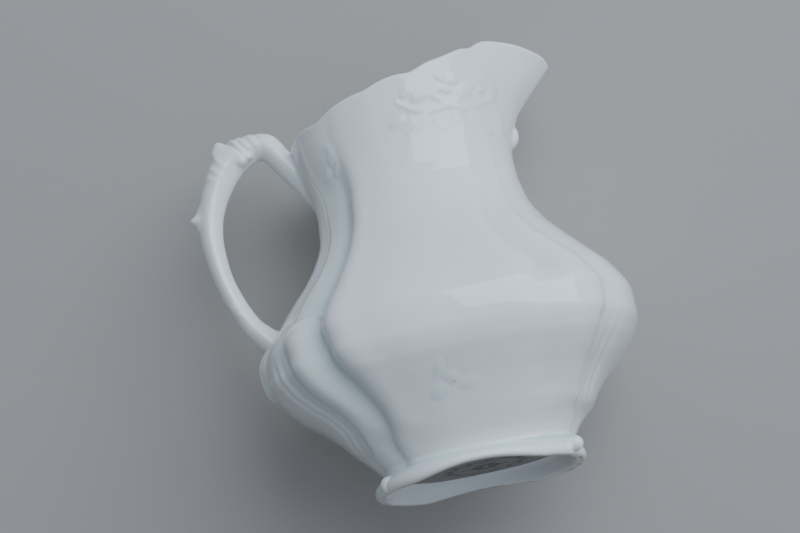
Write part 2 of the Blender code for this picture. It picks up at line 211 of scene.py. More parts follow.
def rim_height(angle):
    """Height of the scalloped rim in one direction (mm)."""
    degrees = np.degrees(folded(angle))
    height = smooth_table(RIM, np.hypot(degrees, SPOUT_ROUNDING))
    for middle, dip, width in RIM_DIPS:
        height = height - dip * bell(degrees - middle, width)
    return height


def groove_angle(table, height):
    return np.arccos(smooth_table(table, height))


def from_groove(scaled, table, height):
    """Distance from a groove, in radians of the section, measured square to its run."""
    near = 0.2
    run = (groove_angle(table, height + near) - groove_angle(table, height - near)) / (2 * near)
    return (scaled - groove_angle(table, height)) / np.hypot(1.0, run * MEAN_RADIUS)


def groove(away, shape):
    """Groove whose two sides fall away at different rates."""
    share, before, after = shape
    return share * bell(away, np.where(away < 0, before, after))


def crest(away, shape):
    """Rounded rise beside a groove."""
    rise, past, half_width = shape
    return rise * bell(away - past, half_width)


def lobe_cut(scaled, height, behind):
    """Depth of the grooves between the moulded lobes and rise of the crests beside them (mm)."""
    face_depth = smooth_table(FACE_DEPTH, height)
    corner_depth = smooth_table(CORNER_DEPTH, height)
    belly = step_between(*BELLY, height)

    # handle side: a wide valley beside the face, a crisp crease at the corner
    face = from_groove(scaled, FACE_BACK, height)
    corner = from_groove(scaled, CORNER_BACK, height)
    back = face_depth * groove(face, FACE_VALLEY) + corner_depth * groove(corner, HANDLE_CREASE)
    middle = (groove_angle(FACE_BACK, height) + groove_angle(CORNER_BACK, height)) / 2
    half = (groove_angle(FACE_BACK, height) - groove_angle(CORNER_BACK, height)) / 2
    window = step_between(*NECK_HOLLOW_FOOT, height) * step_between(*NECK_HOLLOW_HEAD, height)
    back = back + NECK_HOLLOW * window * np.clip(1 - ((scaled - middle) / half) ** 2, 0, 1) ** 0.8
    back_crest = face_depth * crest(face, FACE_CREST)
    low_crest = belly * step_between(*HANDLE_CREST_FOOT, height)
    back_crest = back_crest + low_crest * crest(corner, HANDLE_CORNER_CREST)
    petal_at = np.hypot((scaled - PETAL_TURN) / PETAL_HALF_TURN, (height - PETAL_Z) / PETAL_HALF_HEIGHT)
    edge_rise, edge_width = PETAL_EDGE
    petal_rise = edge_rise * bell(petal_at - 1, edge_width)
    petal_rise = petal_rise - PETAL_SINK * np.clip(1.05 - petal_at, 0, 1) ** 0.5
    back_crest = back_crest + petal_rise * step_between(*PETAL_FOOT, height)

    # spout side: a valley crosses the shoulder, a crease runs down the corner, and a faint line
    # carries the valley on down the belly
    shoulder = from_groove(scaled, SHOULDER, height)
    crease = from_groove(scaled, CORNER_FRONT, height)
    faint = from_groove(scaled, FACE_FRONT, height)
    on_neck = 1 - (1 - SHOULDER_LEFT) * step_between(*SHOULDER_HEAD, height)
    above = step_between(*SHOULDER_FOOT, height) * on_neck
    front = face_depth * above * groove(shoulder, SHOULDER_VALLEY)
    front = front + corner_depth * (0.5 + 0.5 * belly) * groove(crease, SPOUT_CREASE)
    front = front + belly * step_between(*FAINT_LINE_FOOT, height) * groove(faint, FAINT_LINE)
    front_crest = face_depth * above * crest(shoulder, SHOULDER_CREST)
    low_crest = belly * step_between(*SPOUT_CREST_FOOT, height)
    front_crest = front_crest + low_crest * crest(crease, SPOUT_CORNER_CREST)

    # fine reeds beside both creases
    edge = np.where(behind, corner, crease)
    head = np.where(behind, step_between(*HANDLE_REED_HEAD, height), step_between(*SPOUT_REED_HEAD, height))
    reeds = REED_DEPTH * step_between(*REED_FOOT, height) * head
    reeding = sum(reeds * bell(edge + offset, REED_HALF_WIDTH) for offset in REED_OFFSETS)
    return np.where(behind, back, front) + reeding, np.where(behind, back_crest, front_crest)


def body_radius(angle, height):
    """Distance from the axis to the outer surface, and how deep in a groove it is (mm)."""
    share = np.clip((height - NECK_Z) / (rim_height(angle) - NECK_Z), 0.0, 1.1)
    upper = height > NECK_Z
    spout_side, handle_side, depth = (
        np.where(upper, smooth_table(LIP, share, high), smooth_table(PROFILE, height, low))
        for low, high in ((1, 1), (2, 3), (3, 4)))
    reach = np.where(np.cos(angle) >= 0, spout_side, handle_side)
    power = smooth_table(SQUARENESS, height)
    across = np.abs(np.cos(angle)) / reach
    along = np.abs(np.sin(angle)) / depth
    radius = (across**power + along**power) ** (-1.0 / power)
    cut, rise = lobe_cut(np.arctan2(along, across), height, np.cos(angle) < 0)
    spout = np.where(upper, smooth_table(LIP, share, 2), 0.0)
    radius = radius - cut + rise + spout * bell(np.degrees(folded(angle)), SPOUT_SPREAD)
    return radius, cut


def body_points(angle, height, inset=0.0):
    """Points of the body's surface, moved inwards by inset, and how deep in a groove they are."""
    radius, cut = body_radius(angle, height)
    radius = radius - inset
    return np.stack([radius * np.cos(angle), radius * np.sin(angle), height], axis=-1), cut


def grid_normals(points):
    """Outward normals of a grid whose rows climb and whose columns run round the jug."""
    round_ = np.roll(points, -1, axis=1) - np.roll(points, 1, axis=1)
    climb = np.gradient(points, axis=0)
    normal = np.cross(round_, climb)
    return normal / np.maximum(np.linalg.norm(normal, axis=-1, keepdims=True), 1e-9)


# ---------------------------------------------------------------- meshes
def make_object(name, points, faces, attributes=None, seam=None):
    """Mesh object from points in the jug's own millimetres; seam rings get a sharp edge."""
    verts = np.asarray(points, float).reshape(-1, 3) * MM
    verts[:, 0] += MIDDLE_X
    data = bpy.data.meshes.new(name)
    data.from_pydata(verts.tolist(), [], faces)
    data.polygons.foreach_set("use_smooth", np.ones(len(data.polygons), bool))
    for label, values in (attributes or {}).items():
        layer = data.attributes.new(label, "FLOAT", "POINT")
        layer.data.foreach_set("value", np.asarray(values, np.float32).ravel())
    if seam is not None:
        on_seam = np.zeros(len(verts), bool)
        on_seam[seam] = True
        ends = np.empty(len(data.edges) * 2, np.int32)
        data.edges.foreach_get("vertices", ends)
        data.edges.foreach_set("use_edge_sharp", on_seam[ends.reshape(-1, 2)].all(axis=1))
    data.update()
    piece = bpy.data.objects.new(name, data)
    bpy.context.scene.collection.objects.link(piece)
    return piece


def tube_faces(rows, columns, close_rows=False):
    """Quads between rows of points, each row a closed ring."""
    row = np.arange(rows if close_rows else rows - 1)[:, None]
    col = np.arange(columns)[None, :]
    upper = (row + 1) % rows
    right = (col + 1) % columns
    quads = np.stack([row * columns + col, row * columns + right, upper * columns + right,
                      upper * columns + col], axis=-1)
    return quads.reshape(-1, 4).tolist()


def ring_cap(first, columns, centre, flip):
    """Fan of triangles that closes a ring to its centre point."""
    faces = []
    for i in range(columns):
        j = (i + 1) % columns
        faces.append((first + j, first + i, centre) if flip else (first + i, first + j, centre))
    return faces


# ---------------------------------------------------------------- body
BODY_COLUMNS = 720
BODY_ROWS = 300
INNER_ROWS = 110
LIP_ARC = 9
BASE_ROWS = 96
SEAM_Z = 6.2  # where the body meets the foot
LEVEL_TOP = 118.0  # height of the last row, before the rows lean towards the rim
RECESS_Z = 5.2
RECESS_STEP = 0.8  # rise of the recess towards its edge
RECESS_DOME = 0.25
RECESS_REACH = (0.02, 0.97)  # first and last ring of the recess, as shares of the seam
FLOOR_Z = 9.8
FLOOR_FILLET = (0.30, 0.07)  # how far the wall draws in at the floor, and over what share of its height
FLOOR_RINGS = ((0.66, -0.35), (0.5, -0.5), (0.3, -0.6), (0.12, -0.62))  # reach and lift
POOL_DEPTH = 6.25  # depth of groove that would take the full tint of pooled glaze (mm)
# printed emblem: middle and half size, both ways (mm)
MARK_X, MARK_HALF_X = 2.0, 11.0
MARK_Y, MARK_HALF_Y = 6.0, 10.0
MARK_LEAVES = 13


def build_body():
    """Shell with its lip, inside, floor and recessed base, as one closed skin."""
    angle = np.linspace(0, 2 * math.pi, BODY_COLUMNS, endpoint=False)
    rim = rim_height(angle)
    share = np.linspace(0, 1, BODY_ROWS)
    lower = share[:, None] * (rim[None, :] - SEAM_Z) + SEAM_Z
    # rows run level through the belly and lean towards the rim above it
    level = share * (LEVEL_TOP - SEAM_Z) + SEAM_Z
    lean = step_between(0.5, 1.0, share)[:, None]
    height = level[:, None] * (1 - lean) + lower * lean
    spread = np.broadcast_to(angle, height.shape)
    outer, cut = body_points(spread, height)
    normal = grid_normals(outer)
    rise, pool = relief(outer, height)
    outer = outer + normal * rise[..., None]
    pool = np.clip(pool + cut / POOL_DEPTH, 0, 1)

    inner_share = np.linspace(1, 0, INNER_ROWS)
    inner_height = inner_share[:, None] * (rim[None, :] - FLOOR_Z) + FLOOR_Z
    thicker, thick_spread = SPOUT_THICKENING
    thickness = RIM_THICKNESS + thicker * bell(np.degrees(folded(angle)), thick_spread)
    inset = WALL - (WALL - thickness) * step_between(0.93, 1.0, inner_share)[:, None]
    inner, _ = body_points(np.broadcast_to(angle, inner_height.shape), inner_height, inset)
    draw_in, fillet_share = FLOOR_FILLET
    shrink = 1 - draw_in * (1 - step_between(0.0, fillet_share, inner_share))[:, None, None] ** 2
    inner[..., :2] *= shrink

    turn = np.linspace(0, math.pi, LIP_ARC + 2)[1:-1]
    middle = (outer[-1] + inner[0]) / 2
    half = (outer[-1] - inner[0]) / 2
    arc = middle[None] + half[None] * np.cos(turn)[:, None, None]
    arc[..., 2] += 0.5 * thickness * np.sin(turn)[:, None]
    floors = []
    for reach, lift in FLOOR_RINGS:
        ring = inner[-1].copy()
        ring[:, :2] *= reach / (1 - draw_in)
        ring[:, 2] = FLOOR_Z + lift
        floors.append(ring)
    bottoms = []
    reaches = np.linspace(*RECESS_REACH, BASE_ROWS)
    for reach in reaches:
        ring = outer[0].copy()
        ring[:, :2] *= reach
        ring[:, 2] = RECESS_Z + RECESS_STEP * step_between(0.80, 0.96, reach)
        ring[:, 2] -= RECESS_DOME * bell(reach, 0.5)
        bottoms.append(ring)
    grid = np.concatenate([np.array(bottoms), outer, arc, inner, np.array(floors)])
    rows = len(grid)
    points = grid.reshape(-1, 3)
    centres = np.array([[0, 0, RECESS_Z], [0, 0, FLOOR_Z + FLOOR_RINGS[-1][1]]])
    points = np.concatenate([points, centres])
    faces = tube_faces(rows, BODY_COLUMNS)
    faces += ring_cap(0, BODY_COLUMNS, rows * BODY_COLUMNS, True)
    faces += ring_cap((rows - 1) * BODY_COLUMNS, BODY_COLUMNS, rows * BODY_COLUMNS + 1, False)
    shade = np.zeros((rows, BODY_COLUMNS))
    shade[len(bottoms):len(bottoms) + BODY_ROWS] = pool
    shade = np.append(shade.ravel(), (0, 0))
    base = np.array(bottoms)
    size = base.shape[0] * base.shape[1]
    mark = np.zeros(len(points))
    mark[:size] = base_mark(base[..., 0], base[..., 1]).ravel()
    # painted shade: the recess under the base is darkened across its middle, fading out towards its edge,
    # in place of the shadow that falls there
    recess_shade = np.zeros(len(points))
    recess_shade[:size] = np.repeat(step_between(1.0, 0.86, reaches), BODY_COLUMNS)
    seam = np.arange(BODY_COLUMNS) + len(bottoms) * BODY_COLUMNS
    return make_object("visual_body", points, faces, {"pool": shade, "mark": mark, "recess_shade": recess_shade}, seam)


def base_mark(x, y):
    """Printed emblem under the base: a plain wreath of leaves round a lozenge."""
    across, down = (x - MARK_X) / MARK_HALF_X, (y - MARK_Y) / MARK_HALF_Y
    ring = np.hypot(across, down)
    turn = np.arctan2(down, across)
    leaves = bell(ring - 1 - 0.07 * np.cos(MARK_LEAVES * turn), 0.085)
    leaves *= 0.35 + 0.65 * np.cos(MARK_LEAVES / 2 * turn + 0.4) ** 2
    lozenge = bell(np.abs(across) + np.abs(down) * 0.8 - 0.38, 0.07)
    bar = bell(down, 0.07) * step_between(0.72, 0.6, np.abs(across))
    spray = bell(np.abs(across) - 0.1 - 0.5 * down**2, 0.05) * step_between(0.7, 0.5, np.abs(down))
    return np.clip(leaves + lozenge + 0.6 * bar + 0.5 * spray, 0, 1)


def stroke(u, v, path, width, taper=1.0):
    """Soft raised line along a path of points; 1 on the line, 0 away from it."""
    best = np.zeros_like(u)
    count = len(path) - 1
    for i in range(count):
        (ax, ay), (bx, by) = path[i], path[i + 1]
        dx, dy = bx - ax, by - ay
        t = np.clip(((u - ax) * dx + (v - ay) * dy) / (dx * dx + dy * dy), 0, 1)
        distance = np.hypot(u - ax - t * dx, v - ay - t * dy)
        along = (i + t) / count
        local = width * (1 - (1 - taper) * along)
        best = np.maximum(best, np.exp(-((distance / local) ** 2)))
    return best


def petal(u, v, centre, length, width, turn):
    """Soft oval lobe, 1 in its middle."""
    c, s = math.cos(turn), math.sin(turn)
    a = (u - centre[0]) * c + (v - centre[1]) * s
    b = -(u - centre[0]) * s + (v - centre[1]) * c
    return np.clip(1 - (a / length) ** 2 - (b / width) ** 2, 0, 1) ** 0.9


def relief(points, height):
    """Moulded relief on the outside of the body: its rise in mm and where the glaze pools."""
    x, y, z = points[..., 0], np.abs(points[..., 1]), height
    side = step_between(*RELIEF_FROM, y)

    # soft spray of scrolls and leaves under the lip, and a small one low on the belly
    spray = np.zeros(x.shape)
    for path, width, lift in SCROLLS:
        spray = np.maximum(spray, stroke(x, z, path, width, 0.5) * lift)
    for centre, length, width, turn, lift in LEAVES:
        spray = np.maximum(spray, petal(x, z, centre, length, width, turn) * lift)
    rise = spray * side
    # glaze pools along the edges of the spray
    pool = np.clip(0.4 - np.abs(spray - 0.12) * 4.0, 0, 0.25) * side

    # bead under the spout
    ahead = step_between(0.0, 8.0, x)
    rise += BEAD_RISE * petal(y, z, (0.0, BEAD_Z), *BEAD_HALF, 0.0) ** 0.75 * ahead
    # leaf under the lower end of the handle: a rounded blade with a fold down each side
    behind = step_between(*LEAF_FROM, -x)
    half = LEAF_HALF_WIDTH * np.clip(1 - ((z - LEAF_MIDDLE) / LEAF_HALF_HEIGHT) ** 2, 0.0, 1) ** 0.5
    across = y / np.maximum(half, 0.01)
    blade = np.clip(1 - across**2, 0, 1) ** 0.7 * np.clip(half / LEAF_HALF_WIDTH, 0, 1)
    folds = 0.35 * bell(across - 0.45, 0.12) - 0.25 * bell(across - 0.62, 0.10)
    rise += (LEAF_RISE + folds) * blade * behind
    pool += behind * 0.3 * bell(across - 1.0, 0.2) * (half > 0.5)
    return rise, np.clip(pool, 0, 0.6)


# scrolls: path in x and z, width, rise (mm)
SCROLLS = (
    (((25.5, 117.5), (27.5, 114.0), (26.5, 110.5), (23.5, 109.5), (22.5, 112.0), (24.3, 113.2)), 1.6, 0.48),
    (((26.5, 110.5), (28.0, 105.5), (27.8, 100.0)), 1.5, 0.30),
    (((23.5, 109.5), (18.0, 107.5), (13.0, 108.5), (9.5, 111.5), (11.5, 113.8), (14.0, 112.4)), 1.6, 0.30),
    (((13.0, 108.5), (7.0, 107.0), (2.0, 108.5), (-1.5, 111.0)), 1.5, 0.22),
    (((7.0, 107.0), (4.5, 103.0), (0.0, 101.0)), 1.4, 0.18),
    (((-24.5, 104.5), (-23.0, 100.5), (-23.5, 96.5)), 1.3, 0.26),
)
# leaves: middle in x and z, half length, half width, turn in radians, rise (mm)
LEAVES = (
    ((19.5, 113.0), 3.8, 2.3, 0.8, 0.40),
    ((16.0, 104.0), 3.6, 2.1, -0.7, 0.30),
    ((21.0, 104.6), 3.4, 2.0, -1.1, 0.30),
    ((5.5, 112.0), 3.6, 2.1, 0.5, 0.28),
    ((9.8, 103.0), 3.4, 1.9, -1.0, 0.24),
    ((-2.5, 105.4), 3.2, 1.8, 0.5, 0.22),
    ((16.5, 116.0), 3.0, 1.8, 0.2, 0.26),
    ((12.5, 117.0), 2.6, 1.6, -0.6, 0.22),
    ((23.5, 101.0), 2.8, 1.6, -0.9, 0.24),
    ((1.5, 113.6), 2.6, 1.6, 0.7, 0.20),
    ((-24.0, 101.5), 3.4, 1.7, 1.45, 0.32),
    ((-26.4, 97.8), 2.4, 1.3, 1.2, 0.25),
    ((-6.3, 21.8), 3.2, 2.2, 0.5, 0.22),
    ((-2.6, 24.6), 2.8, 1.9, -0.2, 0.19),
    ((-5.4, 27.6), 2.8, 1.6, 1.1, 0.16),
    ((1.8, 22.3), 3.2, 1.7, 0.1, 0.14),
)
# leaf below the handle
LEAF_MIDDLE = 46.5
LEAF_HALF_HEIGHT = 10.5
LEAF_HALF_WIDTH = 7.4
LEAF_RISE = 2.6
LEAF_FROM = (30.0, 38.0)  # distances behind the axis between which it comes in
RELIEF_FROM = (6.0, 14.0)  # distances from the middle plane between which the sprays come in
# bead below the spout
BEAD_Z = 102.6
BEAD_RISE = 1.7
BEAD_HALF = (2.5, 3.3)  # across and up

# ---------------------------------------------------------------- foot
FOOT_COLUMNS = 900
FOOT_STEPS = 7  # rows to each step of the profile
# height, reach along X, reach along Y, from the seam down the outside and up the inside
FOOT_PROFILE = ((6.2, 30.0, 25.3), (5.4, 29.9, 25.5), (4.6, 30.1, 26.4), (3.9, 30.7, 27.9),
                (3.2, 31.3, 29.0), (2.4, 31.7, 29.6), (1.5, 31.8, 29.8), (0.8, 31.6, 29.7),
                (0.25, 31.2, 29.3),
                (0.0, 30.6, 28.8), (0.0, 29.7, 27.8), (0.25, 28.9, 27.0), (0.9, 28.3, 26.3),
                (2.4, 27.6, 25.4), (4.2, 26.9, 24.5), (5.3, 25.9, 23.2), (6.0, 25.0, 22.0))
FOOT_TURN = 9.5  # the profile station where the outside ends
FOOT_MEETS_BODY = 2.4  # the profile station by which the foot has left the body's surface
FOOT_ARCH = 1.9  # rise of the long sides in the middle
FOOT_ARCH_HALF = 19.0
FOOT_SQUARENESS = 2.08
FOOT_POOL = (6.0, 1.6)  # height at which glaze pools above the foot, and over what height (mm)
BARE_BAND = (9.4, 0.75)  # profile station of the bare edge, and its spread in stations
# corner knobs: X, Y, Z and radius, for the spout side and the handle side
KNOBS = ((28.6, 14.9, 3.0, 2.25), (26.4, 13.6, 2.3, 2.7))


def build_foot():
    """Open ring with arched long sides and a knob at each corner."""
    where, profile = along_stations(FOOT_PROFILE, (len(FOOT_PROFILE) - 1) * FOOT_STEPS + 1)
    z, reach, depth = profile.T
    angle = np.linspace(0, 2 * math.pi, FOOT_COLUMNS, endpoint=False)[None, :]
    z = np.broadcast_to(z[:, None], (len(where), FOOT_COLUMNS)).copy()
    power = FOOT_SQUARENESS
    across = np.abs(np.cos(angle)) / reach[:, None]
    along = np.abs(np.sin(angle)) / depth[:, None]
    radius = (across**power + along**power) ** (-1.0 / power)
    # the top rows carry the body's own surface on down
    own, _ = body_radius(np.broadcast_to(angle, z.shape), z)
    keep = 1 - step_between(0.0, FOOT_MEETS_BODY, where)[:, None]
    radius = radius * (1 - keep) + own * keep
    fold = np.arctan2(np.abs(np.sin(angle)), np.abs(np.cos(angle)))
    ball = np.zeros_like(radius)
    for (knob_x, knob_y, knob_z, knob_r), here in zip(KNOBS, (np.cos(angle) >= 0, np.cos(angle) < 0)):
        away = math.hypot(knob_x, knob_y)
        turned = fold - math.atan2(knob_y, knob_x)
        inside = knob_r**2 - (away * np.sin(turned)) ** 2 - (z - knob_z) ** 2
        reach_out = away * np.cos(turned) + np.sqrt(np.maximum(inside, 0))
        ball = np.where(here & (inside > 0), reach_out, ball)
    outside = where[:, None] <= FOOT_TURN
    radius = np.where(outside & (ball > radius), ball, radius)
    x = radius * np.cos(angle)
    y = radius * np.sin(angle)
    middle = np.clip(1 - (x / FOOT_ARCH_HALF) ** 2, 0, None)
    lift = FOOT_ARCH * middle**1.5 * np.clip(1 - z / SEAM_Z, 0, 1)
    points = np.stack([x, y, z + lift], axis=-1)
    faces = tube_faces(len(where), FOOT_COLUMNS, close_rows=True)
    pool_z, pool_spread = FOOT_POOL
    pool = bell(z - pool_z, pool_spread) * outside
    bare_at, bare_spread = BARE_BAND
    bare = bell(where[:, None] - bare_at, bare_spread) * np.ones_like(x)
    seam = np.arange(FOOT_COLUMNS)
    return make_object("visual_foot", points, faces, {"pool": pool, "bare": bare}, seam)


# ---------------------------------------------------------------- handle
# centre line and section, from the neck to the belly: x, z, half thickness, half width
HANDLE = (
    (-41.6, 112.9, 3.8, 4.6),
    (-43.0, 115.0, 4.1, 4.5),
    (-45.0, 116.9, 4.4, 4.4),
    (-48.0, 117.3, 4.5, 4.4),
    (-51.6, 116.6, 5.0, 4.5),
    (-55.2, 115.0, 5.4, 4.6),
    (-58.3, 112.0, 5.2, 4.5),
    (-61.2, 107.6, 4.7, 4.3),
    (-64.0, 101.8, 4.2, 4.1),
    (-65.7, 95.9, 3.8, 3.9),
    (-66.3, 89.4, 3.5, 3.7),
    (-65.8, 82.8, 3.2, 3.5),
    (-64.7, 76.3, 3.0, 3.4),
    (-62.9, 70.2, 3.0, 3.5),
    (-60.8, 64.8, 3.1, 3.6),
    (-58.5, 60.2, 3.3, 3.9),
    (-56.0, 56.9, 3.6, 4.3),
)
HANDLE_RINGS = 420
HANDLE_SIDES = 96
EXTRA_RINGS = 60  # rings that carry each end on towards the body
LOZENGE = 1.22  # 1 is an oval section, 2 a lozenge
FURTHEST = 34.0  # most that an end has to run on to reach the body (mm)
HALVINGS = 40
PLAIN_END = 3.0  # length of each end over which the relief dies away (mm)
# lumps and folds on the handle: distance along, turn from the outer edge, rise, length, spread, lean
HANDLE_RELIEF = (
    (11.4, 0.6, 0.35, 1.1, 0.9, 1.2),
    (13.6, 0.3, 0.75, 0.8, 0.9, 0.8),
    (8.8, 0.7, 0.25, 1.2, 0.9, 1.2),
    (7.3, 0.8, -0.25, 0.5, 0.8, 1.2),
    (10.1, 0.8, -0.40, 0.42, 0.8, 1.2),
    (12.6, 0.7, -0.45, 0.40, 0.8, 1.2),
    (14.7, 0.3, -0.55, 0.45, 0.9, 0.8),
    (16.2, 0.0, 2.3, 1.05, 0.5, 0.0),
    (17.9, 0.0, 1.6, 1.3, 0.6, 0.0),
    (19.6, 0.9, 0.45, 1.2, 0.6, -1.0),
    (22.4, 0.9, 0.35, 1.1, 0.6, -1.0),
    (25.1, 0.8, 0.25, 1.1, 0.6, -1.0),
    (14.3, 2.3, 1.15, 2.5, 0.30, 0.0),
    (11.2, 2.3, 0.75, 1.3, 0.20, 0.0),
    (37.4, 0.0, 2.0, 1.2, 0.5, 0.0),
    (35.4, 0.0, 0.8, 2.2, 0.5, 0.0),
    (39.2, 0.0, 0.8, 2.0, 0.5, 0.0),
    (67.0, 1.0, 0.25, 1.2, 0.5, 0.0),
    (70.0, 1.2, 0.3, 1.2, 0.5, 0.0),
)


def handle_rings(line, turn):
    """Lozenge sections strung along the centre line, as rings of points."""
    run = np.gradient(line[:, :2], axis=0)
    run /= np.linalg.norm(run, axis=1)[:, None]
    out = line[:, 2:3] * np.sign(np.cos(turn)) * np.abs(np.cos(turn)) ** LOZENGE
    over = line[:, 3:4] * np.sign(np.sin(turn)) * np.abs(np.sin(turn)) ** LOZENGE
    x = line[:, 0:1] + run[:, 1:2] * out
    z = line[:, 1:2] - run[:, 0:1] * out
    return np.stack([x, over, z], axis=-1)


def body_surface(angle, height):
    """Point of the body's outer surface and its outward normal, in mm."""
    small_turn, small_climb = 0.001, 0.05
    here, _ = body_points(angle, height)
    turned, _ = body_points(angle + small_turn, height)
    higher, _ = body_points(angle, height + small_climb)
    normal = np.cross(turned - here, higher - here)
    return here, normal / np.linalg.norm(normal, axis=-1, keepdims=True)


def outside_by(points):
    """How far points stand outside the body, measured from its axis."""
    radius, _ = body_radius(np.arctan2(points[..., 1], points[..., 0]), points[..., 2])
    return np.hypot(points[..., 0], points[..., 1]) - radius


def reach_to_body(ring, ahead):
    """How far each point of a ring travels straight ahead before it meets the body."""
    near = np.zeros(len(ring))
    far = np.full(len(ring), FURTHEST)
    for _ in range(HALVINGS):
        half = (near + far) / 2
        out = outside_by(ring + ahead * half[:, None]) > 0
        near = np.where(out, half, near)
        far = np.where(out, far, half)
    return near


def slip_start(joint):
    """How far from the body the slip starts, for each point round the end of the handle."""
    turn = np.linspace(0, 2 * math.pi, HANDLE_SIDES, endpoint=False)
    return joint["stop"] + joint["inner"] * np.clip(-np.cos(turn), 0, 1) ** 2


def handle_end(at_start):
    """Last full ring at one end of the handle, the way it points, and how far the body is."""
    _, line = along_stations(HANDLE, HANDLE_RINGS)
    turn = np.linspace(0, 2 * math.pi, HANDLE_SIDES, endpoint=False)[None, :]
    rings = handle_rings(line, turn)
    here, before = (line[0], line[3]) if at_start else (line[-1], line[-4])
    ahead = np.array([here[0] - before[0], 0.0, here[1] - before[1]])
    ahead /= np.linalg.norm(ahead)
    ring = rings[0] if at_start else rings[-1]
    return ring, ahead, reach_to_body(ring, ahead)


def build_handle():
    """Closed skin of the handle, with its lumps and folds, up to where the slip starts."""
    _, line = along_stations(HANDLE, HANDLE_RINGS)
    # the first turn direction, 0, faces the outer edge of the handle
    turn = np.linspace(0, 2 * math.pi, HANDLE_SIDES, endpoint=False)[None, :]
    points = handle_rings(line, turn)
    length = np.concatenate([[0], np.cumsum(np.linalg.norm(np.diff(line[:, :2], axis=0), axis=1))])[:, None]
    normal = grid_normals(points)
    outward = points - np.stack([line[:, 0], np.zeros(len(line)), line[:, 1]], axis=-1)[:, None, :]
    normal *= np.sign(np.sum(normal * outward, axis=-1, keepdims=True))
    rise = np.zeros(points.shape[:2])
    away = folded(turn)
    for along, side, amount, reach, spread, lean in HANDLE_RELIEF:
        past = length - along + lean * (away - side)
        rise = rise + amount * bell(past, reach) * bell(away - side, spread)
    rise *= step_between(0, PLAIN_END, length) * step_between(0, PLAIN_END, length[-1] - length)
    points = points + normal * rise[..., None]
    # both ends run straight on until they almost meet the body
    share = np.linspace(0, 1, EXTRA_RINGS + 1)[1:, None, None]
    ends = []
    for at_start, joint in ((True, UPPER_JOINT), (False, LOWER_JOINT)):
        ring, ahead, reach = handle_end(at_start)
        ends.append(ring + ahead * share * (reach - slip_start(joint))[:, None])
    points = np.concatenate([ends[0][::-1], points, ends[1]])
    rise = np.pad(rise, ((EXTRA_RINGS, EXTRA_RINGS), (0, 0)))
    rows = len(points)
    flat = np.concatenate([points.reshape(-1, 3), [points[0].mean(axis=0), points[-1].mean(axis=0)]])
    faces = tube_faces(rows, HANDLE_SIDES)
    faces += ring_cap(0, HANDLE_SIDES, rows * HANDLE_SIDES, True)
    faces += ring_cap((rows - 1) * HANDLE_SIDES, HANDLE_SIDES, rows * HANDLE_SIDES + 1, False)
    pool = np.clip(-rise * 0.8, 0, 0.6).ravel()
    seam = np.concatenate([np.arange(HANDLE_SIDES), np.arange(HANDLE_SIDES) + (rows - 1) * HANDLE_SIDES])
    return make_object("visual_handle", flat, faces, {"pool": np.append(pool, (0, 0))}, seam)


# ---------------------------------------------------------------- slip joints
JOINT_STEPS = 56
INTO_WALL = 0.10  # how far the foot of the fillet is sunk into the wall
BACK_INTO_WALL = (0.5, 0.6, 0.8)  # and how far the rings and the centre that close its back are
# where the slip starts on the handle, how much sooner on its inner edge, and how far it spreads on
# the body: above, to the side, below (mm)
UPPER_JOINT = {"stop": 2.6, "inner": 0.0, "spread": (0.4, 2.6, 6.5)}
LOWER_JOINT = {"stop": 2.6, "inner": 4.0, "spread": (5.5, 2.6, 2.6)}


def build_joint(name, at_start, joint):
    """Fillet of slip from the end of the handle out on to the body wall."""
    ring, ahead, reach = handle_end(at_start)
    start = slip_start(joint)[:, None]
    first = ring + ahead * (reach[:, None] - start)
    touch = ring + ahead * reach[:, None]
    middle = touch.mean(axis=0)
    outward = touch - middle
    above, beside, below = joint["spread"]
    away = np.hypot(outward[:, 1], outward[:, 2])
    steep = outward[:, 2] / away
    spread = beside * (1 - steep**2) + np.where(steep > 0, above, below) * steep**2
    # the foot of the fillet, found from its angle and height on the body
    height = touch[:, 2] + spread * steep
    radius, _ = body_radius(np.arctan2(touch[:, 1], touch[:, 0]), height)
    angle = math.pi - (touch[:, 1] + spread * outward[:, 1] / away) / radius
    last, normal = body_surface(angle, height)
    last = last - normal * INTO_WALL
    heading = last - touch
    heading -= np.sum(heading * normal, axis=1, keepdims=True) * normal
    rows = []
    for t in np.linspace(0, 1, JOINT_STEPS):
        p1 = first + ahead * start * 0.8
        p2 = last - heading * 0.75
        near = (1 - t) ** 3 * first + 3 * (1 - t) ** 2 * t * p1
        rows.append(near + 3 * (1 - t) * t**2 * p2 + t**3 * last)
    # the back is closed just inside the wall
    rows.append(last - normal * BACK_INTO_WALL[0])
    rows.append(touch - normal * BACK_INTO_WALL[1])
    centre, inward = body_surface(np.array([math.pi]), middle[2:3])
    centre = centre[0] - inward[0] * BACK_INTO_WALL[2]
    sides = HANDLE_SIDES
    flat = np.concatenate([np.concatenate(rows), [first.mean(axis=0)], [centre]])
    faces = tube_faces(len(rows), sides)
    faces += ring_cap(0, sides, len(rows) * sides, True)
    faces += ring_cap((len(rows) - 1) * sides, sides, len(rows) * sides + 1, False)
    pool = np.concatenate([np.repeat(np.linspace(0, 1, len(rows)) ** 2 * 0.5, sides), (0, 0)])
    return make_object(name, flat, faces, {"pool": pool}, np.arange(sides))


